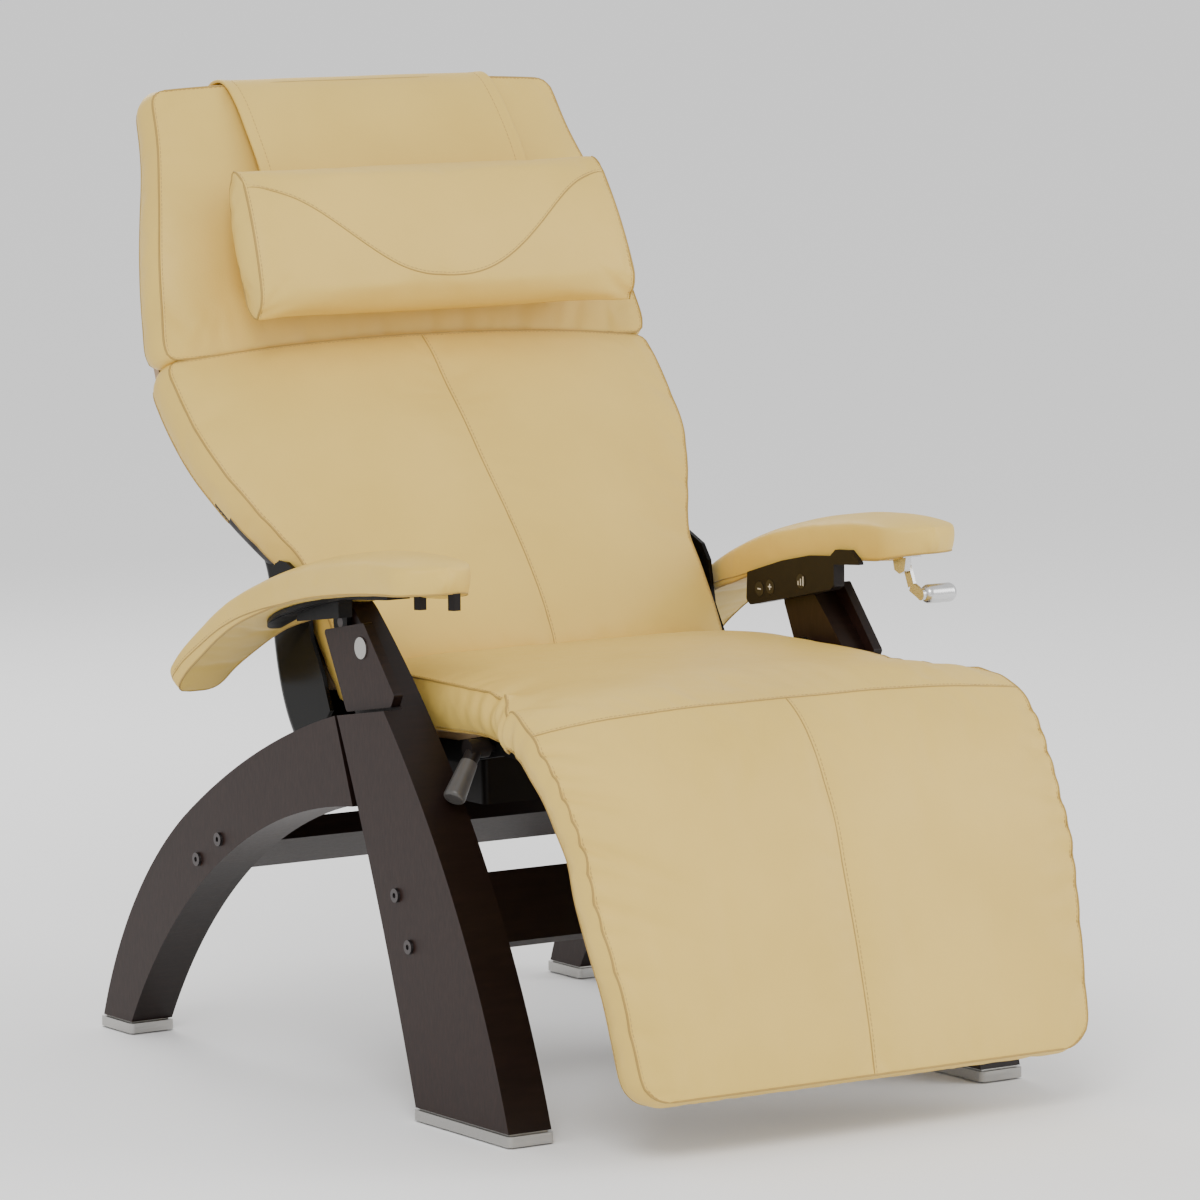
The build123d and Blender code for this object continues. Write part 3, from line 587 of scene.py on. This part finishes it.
# ---- seat and leg rest: one cover over the knee --------------------------------------------------
seat_rows = [(98, 478, 264, 6, 48), (40, 483, 268, 5, 54), (-40, 484, 271, 5, 57),
             (-120, 484, 271, 6, 52), (-205, 482, 271, 8, 40), (-242, 480, 272, 10, 38),
             (-284, 478, 299, 12, 38), (-330, 475, 319, 14, 39), (-360, 470, 326, 16, 40),
             (-383, 461, 329, 18, 40),
             (-411, 442, 331, 18, 41), (-436, 415, 328, 16, 41), (-460, 378, 325, 13, 41),
             (-479, 345, 322, 10, 41), (-496, 300, 323, 7, 41), (-512, 250, 318, 6, 41),
             (-528, 200, 311, 5, 41), (-543, 142, 306, 5, 41), (-552, 104, 303, 5, 41),
             (-559, 74, 300, 4, 40)]
KNEE_I = 70                     # the lattice line of the seam over the knee


# along the side, depth, reach from the edge, slant
PUCKERS = [(512, 6.0, 52, 0.25), (541, 4.5, 44, 0.30), (569, 6.5, 62, 0.42), (600, 4.0, 40, 0.3),
           (628, 7.0, 66, 0.55), (661, 5.0, 46, 0.45), (694, 5.5, 58, 0.5), (727, 3.5, 40, 0.3),
           (771, 3.2, 44, 0.3), (838, 2.4, 42, 0.2), (905, 2.6, 46, 0.2)]
# across, depth, width, lean
LONG_FOLDS = [(-262, 1.8, 9, 0.10), (-214, 1.5, 13, 0.05), (-168, 1.7, 15, -0.04),
              (-120, 1.2, 17, 0.03), (58, 1.1, 16, 0.05), (118, 1.5, 15, 0.08),
              (176, 1.2, 15, 0.04), (232, 1.5, 12, -0.02)]


def seat_folds(p, s, b, c, half, front):
    """Ruffles on the gathered seat sides, puckers round the knee and long soft folds below.
    The right side, with b below 0, is gathered more than the left."""
    p = p.copy()
    edge = (1 - np.abs(b)) * half
    side = np.abs(b) > SIDE
    right = b < 0
    gather = np.exp(-((s - 375) / 70.0) ** 2)
    wave = np.sin(s / 30.0 * 2 * math.pi + 0.9 * np.sin(s / 47.0)) + 0.5 * np.sin(s / 13.3 + 1.0)
    p[:, 0] += np.sign(b) * np.where(side, gather * wave * (3.6 + 1.6 * right) * (0.35 + c), 0)
    p[:, 2] += gather * wave * (3.0 + 1.6 * right) * np.exp(-edge / 24.0) * (0.6 + 0.4 * c)
    near_knee = np.exp(-((s - 385) / 62.0) ** 2) * right * np.exp(-edge / 30.0)
    ripple = 7.0 * np.sin((s - 352) / 74.0 * 2 * math.pi) + 3.0 * np.sin(s / 11.0)
    p[:, 2] += near_knee * ripple * (1 - 0.5 * c)
    p[:, 2] -= 11.0 * np.exp(-((s - 330) / 85.0) ** 2) * right * side * c * c
    belly = 7.0 * np.exp(-((s - 345) / 80.0) ** 2) * 4 * c * (1 - c)
    p[:, 0] -= np.where(side & right, belly, 0)
    dent = np.zeros(len(p))
    for at, deep, reach, slant in PUCKERS:
        on_right = valley(s - at - slant * edge, 5.0 + edge * 0.05)
        on_right *= np.exp(-(edge / reach) ** 1.6)
        on_left = valley(s - at - 9 + slant * 0.4 * edge, 6.5)
        on_left *= np.exp(-(edge / (reach * 0.6)) ** 1.6)
        dent += 1.7 * deep * np.where(right, on_right, 0.55 * on_left)
    x = b * half
    run = np.clip((s - 560) / 120, 0, 1) * np.clip((925 - s) / 130, 0, 1)
    for at, deep, width, lean in LONG_FOLDS:
        fade = 0.55 + 0.45 * np.sin(s / 62.0 + at)
        dent += deep * valley(x - at - lean * (s - 700), width) * run * fade
    dent += 1.3 * wobble(p, 95.0, 3.0) + 0.7 * wobble(p, 38.0, 9.0) * np.exp(-edge / 60.0)
    push(p, front, -dent * np.where(c < FLUSH, 1.0, np.where(side, 1 - c, 0.0)))
    return p


cells = (132, 80, 6)
mid = cells[1] // 2
seat = Cushion("seat_legrest_cover", cells,
               bent_pad(seat_rows, ends=(0.0, 32.0), side_bulge=5.0, end_bulge=4.0,
                        extra=seat_folds, power=3.2),
               [rim(cells, False), rim(cells, True), cross_line(cells, KNEE_I, 0),
                side_line(cells, mid, 0, KNEE_I)])
seat.puff(7.0, pressure=3.0, slack=0.010)
seat.finish()
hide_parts("seat_cushion", "legrest_cushion")
BEND = ("recliner", "legrest", (0.0, -0.33, 0.46), (0.0, -0.45, 0.40))
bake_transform(seat.obj)
sew("seat_legrest_seams", seat, front_edges(cells) + rear_edges(cells) + [
    (cross_line(cells, cells[0], 0), 0.0013, cross_line(cells, cells[0] - 1, 0), 0.45),
    (cross_line(cells, KNEE_I, 0), 0.0010, cross_line(cells, KNEE_I - 1, 0), 0.45),
    (side_line(cells, mid, 0, KNEE_I), 0.0010, side_line(cells, mid + 1, 0, KNEE_I), 0.45)],
    blend=BEND)


# ---- back cushion --------------------------------------------------------------------------------
back_rows = [(391, 816, 339, 30, 50), (374, 795, 340, 36, 50), (335, 751, 338, 38, 51),
             (294, 708, 330, 39, 51), (259, 667, 312, 40, 51), (227, 630, 291, 41, 50),
             (200, 598, 273, 42, 47), (160, 548, 267, 43, 44), (128, 500, 265, 43, 40),
             (113, 470, 264, 41, 34), (108, 446, 262, 30, 26)]


def back_shape(p, s, b, c, half, front):
    """A shallow channel down the middle and small puckers at the sides."""
    p = p.copy()
    edge = (1 - np.abs(b)) * half
    dent = 1.2 * wobble(p, 110.0, 21.0) + 2.0 * valley(b * half, 7.0) * np.clip(s / 60, 0, 1)
    for at, deep in ((18, 2.5), (96, 1.5), (171, 2.2), (226, 2.8), (262, 2.2), (305, 2.4)):
        dent += deep * valley(s - at + 0.25 * edge, 7.0) * np.exp(-(edge / 34.0) ** 1.6)
    push(p, front, -dent * (c < FLUSH))
    return p


LOW_I, SHELL_K = 24, 6          # the dark shell starts below line LOW_I, behind line SHELL_K


def on_shell(i, j, k):
    """Faces low on the rear of the back, where a dark shell stands in for the leather."""
    return ((k > SHELL_K) & (i > LOW_I)) | ((k > SHELL_K + 1) & (i > LOW_I - 3))


cells = (56, 84, 8)
mid = cells[1] // 2
back = Cushion("back_cover_panel", cells,
               bent_pad(back_rows, ends=(10.0, 0.0), side_bulge=5.0, end_bulge=7.0,
                        extra=back_shape, power=2.3),
               [rim(cells, False), rim(cells, True), side_line(cells, mid, 0)])
back.puff(8.0, pressure=3.5, slack=0.008)
back.finish(other="black_plastic", rule=on_shell)
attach(back.obj, "recliner")
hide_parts("back_cushion")
sew("back_seams", back, front_edges(cells) + rear_edges(cells, LOW_I) + [
    (side_line(cells, 0, SHELL_K, LOW_I), 0.0012),
    (side_line(cells, cells[1], SHELL_K, LOW_I), 0.0012),
    (cross_line(cells, 0, 0), 0.0012, cross_line(cells, 1, 0), 0.45),
    (side_line(cells, mid, 0), 0.0010, side_line(cells, mid + 1, 0), 0.45)], "recliner")


# ---- head cushion --------------------------------------------------------------------------------
head_rows = [(519, 1130, 282, 14, 42), (487, 1068, 291, 22, 46), (457, 1010, 307, 25, 50),
             (427, 932, 325, 25, 50), (408, 872, 333, 23, 50), (396, 838, 338, 18, 48),
             (390, 819, 338, 14, 46)]


def head_shape(p, s, b, c, half, front):
    """Short gathers that rise from the seam with the back."""
    p = p.copy()
    x = b * half
    to_bottom = np.maximum(318.0 - s, 0)
    dent = 1.0 * wobble(p, 100.0, 41.0)
    for at, deep, width, lean in ((-292, 3.4, 6, 0.5), (-268, 5.2, 7, 0.2), (-238, 3.0, 9, -0.3),
                                  (-150, 1.8, 12, 0.3), (-40, 1.6, 14, -0.2), (22, 2.6, 8, 0.4),
                                  (66, 1.8, 12, 0.1), (150, 1.6, 12, -0.3), (228, 2.4, 9, 0.2),
                                  (282, 3.2, 8, -0.3)):
        dent += deep * valley(x - at - lean * to_bottom, width) * np.exp(-(to_bottom / 26.0) ** 1.4)
    push(p, front, -dent * (c < FLUSH))
    return p


cells = (42, 84, 6)
head = Cushion("head_cover_panel", cells,
               bent_pad(head_rows, ends=(14.0, 10.0), side_bulge=6.0, end_bulge=6.0,
                        extra=head_shape, power=2.8),
               [rim(cells, False), rim(cells, True)])
head.puff(8.0, pressure=3.5, slack=0.010)
head.finish()
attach(head.obj, "recliner")
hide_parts("head_cushion")
inside = [(min(max(i, 1), cells[0] - 1), min(max(j, 1), cells[1] - 1), 0)
          for i, j, k in rim(cells, False)]
sew("head_seams", head, [(rim(cells, False), 0.0013, inside, 0.45), (rim(cells, True), 0.0012)],
    "recliner")


# ---- head pillow: a D-shaped bolster with end caps and a wave seam -------------------------------
PILLOW_AT = (352, 951)
PILLOW_UP, PILLOW_OUT = np.array([(0.35, 0.937)]), np.array([(-0.937, 0.35)])
PILLOW_HALF = 257


def pillow_shape(a, b, c):
    """The D-shaped section: u runs down the front, w from the face to the head."""
    u, w = 2 * a - 1, 2 * c - 1
    uu, ww = u * np.sqrt(1 - 0.40 * w * w), w * np.sqrt(1 - 0.36 * u * u)
    fall = np.abs(b) ** 2.2
    high, thick = 95 - 6 * fall, 46 - 23 * fall
    centre = -1 + 13 * fall
    out = 12 * (1 - u * u) * (1 - w * w)
    x = b * (PILLOW_HALF + 5 * u) + np.sign(b) * np.where(np.abs(b) > SIDE, out, 0)
    p = np.stack([x, *(np.full(len(x), float(v)) for v in PILLOW_AT)], 1)
    push(p, PILLOW_UP, 2 - uu * high - 8 * fall * (w > 0))
    push(p, PILLOW_OUT, centre - ww * thick + 5 * uu * fall)
    p[:, 1] += 1.2 * wobble(p, 90.0, 61.0)
    edge = (1 - np.abs(b)) * PILLOW_HALF
    for at, deep in ((-0.72, 1.8), (-0.2, 1.2), (0.35, 2.0), (0.8, 2.2)):
        dip = deep * valley(u - at, 0.07) * np.exp(-(edge / 26.0) ** 1.5) * (np.abs(b) < SIDE)
        push(p, PILLOW_OUT, -dip * np.where(w < 0, 1, -1))
    return p


cells = (24, 72, 10)
# the closed seam round each end cap
nu, nv, nw = cells
caps = [[(i, j, 0) for i in range(nu + 1)] + [(nu, j, k) for k in range(1, nw + 1)]
        + [(i, j, nw) for i in range(nu - 1, -1, -1)]
        + [(0, j, k) for k in range(nw - 1, -1, -1)] for j in (0, nv)]
pillow = Cushion("head_pillow_cover", cells, pillow_shape, caps, 0.6)
pillow.puff(5.0, pressure=4.0, slack=0.012)
pillow.finish()
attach(pillow.obj, "pillow")
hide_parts("pillow")


def on_front(cushion, a, b):
    """Points and normals anywhere on a cushion's front panel, between its lattice lines."""
    nu, nv, nw = cushion.cells
    gi, gj = np.asarray(a) * nu, (np.asarray(b) + 1) / 2 * nv
    i0, j0 = np.clip(gi.astype(int), 0, nu - 1), np.clip(gj.astype(int), 0, nv - 1)
    fi, fj = (gi - i0)[:, None], (gj - j0)[:, None]
    out = []
    for values in (cushion.at, cushion.up):
        q = {(di, dj): values[[cushion.index[(i + di, j + dj, 0)] for i, j in zip(i0, j0)]]
             for di in (0, 1) for dj in (0, 1)}
        out.append((q[0, 0] * (1 - fi) + q[1, 0] * fi) * (1 - fj)
                   + (q[0, 1] * (1 - fi) + q[1, 1] * fi) * fj)
    return out[0], out[1] / np.linalg.norm(out[1], axis=1, keepdims=True)


work = Sewing("head_pillow_seams")
for ring, beside in zip(caps, (1, cells[1] - 1)):
    work.welt(*pillow.read(ring), radius=0.0013)
    work.stitch(*pillow.read(ring, [(i, beside, k) for i, _, k in ring], 0.5))
wave = np.linspace(-0.985, 0.985, 130)
dip = 0.05 + 0.44 * (1 + np.cos(math.pi * np.abs(wave) ** 1.15))
work.welt(*on_front(pillow, dip, wave), radius=0.0010, lift=-0.0002)
work.stitch(*on_front(pillow, dip - 0.022, wave))
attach(work.finish(), "pillow")


# ---- strap over the head and the weight that balances the pillow ---------------------------------
# y, z, half width
strap_rows = [(392, 957, 188), (406, 1000, 188), (424, 1037, 188), (451, 1078, 188),
              (484, 1118, 187), (500, 1132, 187), (517, 1139, 187), (537, 1136.5, 187),
              (556, 1123, 186), (569, 1107, 186), (574, 1092, 186), (566, 1072, 186),
              (553, 1044, 186)]


def strap_shape(a, b, c):
    """A flat strap, thicker at its turned hems, that bellies a little between them."""
    v, _ = smooth_rows(strap_rows, a)
    d = ahead_of(strap_rows, a)
    out = np.stack([-d[:, 1], d[:, 0]], 1)
    hem = np.clip((np.abs(b) - 0.945) / 0.02, 0, 1)
    slack = 1 - np.clip((a - 0.30) / 0.12, 0, 1)
    lift = (0.5 - c) * (2.0 + 2.2 * hem) - 3.0 * (1 - b * b) * slack + 1.0 * slack * np.abs(b) ** 6
    p = np.stack([b * v[:, 2], v[:, 0], v[:, 1]], 1)
    push(p, out, lift)
    push(p, out, 0.8 * wobble(p, 80.0, 71.0) * np.clip(a / 0.1, 0, 1))
    return p


cells = (60, 76, 1)
hems = [side_line(cells, j, k) for k in (0, 1) for j in (0, cells[1])]
strap = Cushion("pillow_strap", cells, strap_shape, hems, 0.3)
strap.finish()
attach(strap.obj, "recliner")
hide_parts("head_strap")
work = Sewing("pillow_strap_seams")
for j in (3, cells[1] - 3):
    work.stitch(*strap.read(side_line(cells, j, 0)))
strap_seams = work.finish()
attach(strap_seams, "recliner")

weight_rows = [(582, 1087, 170, 3, 17), (566, 1056, 176, 5, 19), (550, 1026, 177, 5, 19),
               (543, 1009, 172, 3, 17)]
cells = (12, 44, 4)
weight = Cushion("strap_weight_cover", cells, bent_pad(weight_rows, (12.0, 12.0), 3.0, 3.0),
                 [rim(cells, False), rim(cells, True)])
weight.puff(3.0, pressure=3.0)
weight.finish()
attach(weight.obj, "counterweight")
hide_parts("counterweight")
beside = [(i, j, k - 1) for i, j, k in rim(cells, True)]
sew("strap_weight_seams", weight, [(rim(cells, True), 0.0011, beside, 0.4)], "counterweight")


# ---- arm pads ------------------------------------------------------------------------------------
arm_rows = [(328, 455, 29, 4, 25), (299, 482, 32, 6, 26), (262, 508, 35, 7, 27),
            (225, 531, 39, 8, 28), (185, 552, 43, 8, 29), (105, 583, 47, 8, 31),
            (22, 606, 49, 9, 33), (-54, 619, 49, 10, 34), (-130, 627, 49, 10, 34),
            (-176, 629, 49, 9, 33), (-204, 627, 49, 7, 30), (-221, 624, 48, 5, 26)]


ARM_Y, ARM_X = [-350, 40, 130, 240, 330], [333.5, 333.5, 337.0, 344, 353]
TAIL_LINES = 56                 # lattice lines over which the side seam sinks from the tail


def arm_shape(side):
    """The arm pad of one side, -1 right and 1 left: it spreads at the tail and its inner lower
    edge hangs over the carrier."""
    def move(p, s, b, c, half, front):
        p = p.copy()
        y = p[:, 1]
        p[:, 0] = side * (np.interp(y, ARM_Y, ARM_X) + side * p[:, 0])
        p[:, 2] += 0.9 * wobble(p, 70.0, 81.0 + side) * (c < 0.5)
        inner = 7.0 * c * np.clip(-2 * side * b, 0, 1)
        p[:, 2] -= inner * np.clip((215 + y) / 40, 0, 1) * np.clip((190 - y) / 60, 0, 1)
        return p
    return bent_pad(arm_rows, (16.0, 44.0), 2.5, 4.0, extra=move, power=2.0)


for side, tag in ((-1, "right"), (1, "left")):
    cells = (96, 18, 5)
    nv, nw = cells[1], cells[2]
    arm = Cushion(f"arm_pad_{tag}_cover", cells, arm_shape(side), [rim(cells, True)], 0.5)
    arm.puff(2.5, pressure=2.0, slack=0.004)
    arm.finish()
    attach(arm.obj, f"arm_{tag}")
    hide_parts(f"arm_pad_{tag}")
    work = Sewing(f"arm_pad_{tag}_seams")
    work.welt(*arm.read(rim(cells, True)), radius=0.0011)
    run = np.arange(TAIL_LINES)
    share = np.clip(0.50 + 0.5 * (run - 6) / 44.0, 0, 0.985) * nw
    low = share.astype(int)
    part = (share - low)[:, None]
    for j in (0, nv):
        ids = [[arm.index[(int(i), j, int(min(k + d, nw)))] for i, k in zip(run, low)]
               for d in (0, 1)]
        at = arm.at[ids[0]] * (1 - part) + arm.at[ids[1]] * part
        up = arm.up[ids[0]] * (1 - part) + arm.up[ids[1]] * part
        up /= np.linalg.norm(up, axis=1, keepdims=True)
        work.welt(at, up, radius=0.0009, lift=-0.0001)
        work.stitch(at + np.array([0, 0, 0.0035]), up)
    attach(work.finish(), f"arm_{tag}")


# ---- bevelled edges on the hard parts, floor -----------------------------------------------------
def soften(names, width):
    for name in names:
        mod = nodes[name].modifiers.new("bevel", "BEVEL")
        mod.width, mod.segments, mod.limit_method = width, 3, "ANGLE"
        mod.angle_limit, mod.harden_normals = math.radians(32), False


soften(["front_leg_right", "front_leg_left", "rear_leg_right", "rear_leg_left", "front_rail",
        "rear_rail"], 0.0022)
soften(["foot_caps_front", "foot_caps_rear", "control_pod", "recline_lever", "hip_shell"], 0.0008)

bpy.ops.mesh.primitive_plane_add(size=400, location=(0, 0, 0))
floor = bpy.context.object
floor.name = "studio_floor"
paper = bpy.data.materials.new("paper")
paper.use_nodes = True
shine = paper.node_tree.nodes["Principled BSDF"]
shine.inputs["Base Color"].default_value = (0.97, 0.97, 0.97, 1)
shine.inputs["Roughness"].default_value = 1.0
shine.inputs["Specular IOR Level"].default_value = 0.0
floor.data.materials.append(paper)
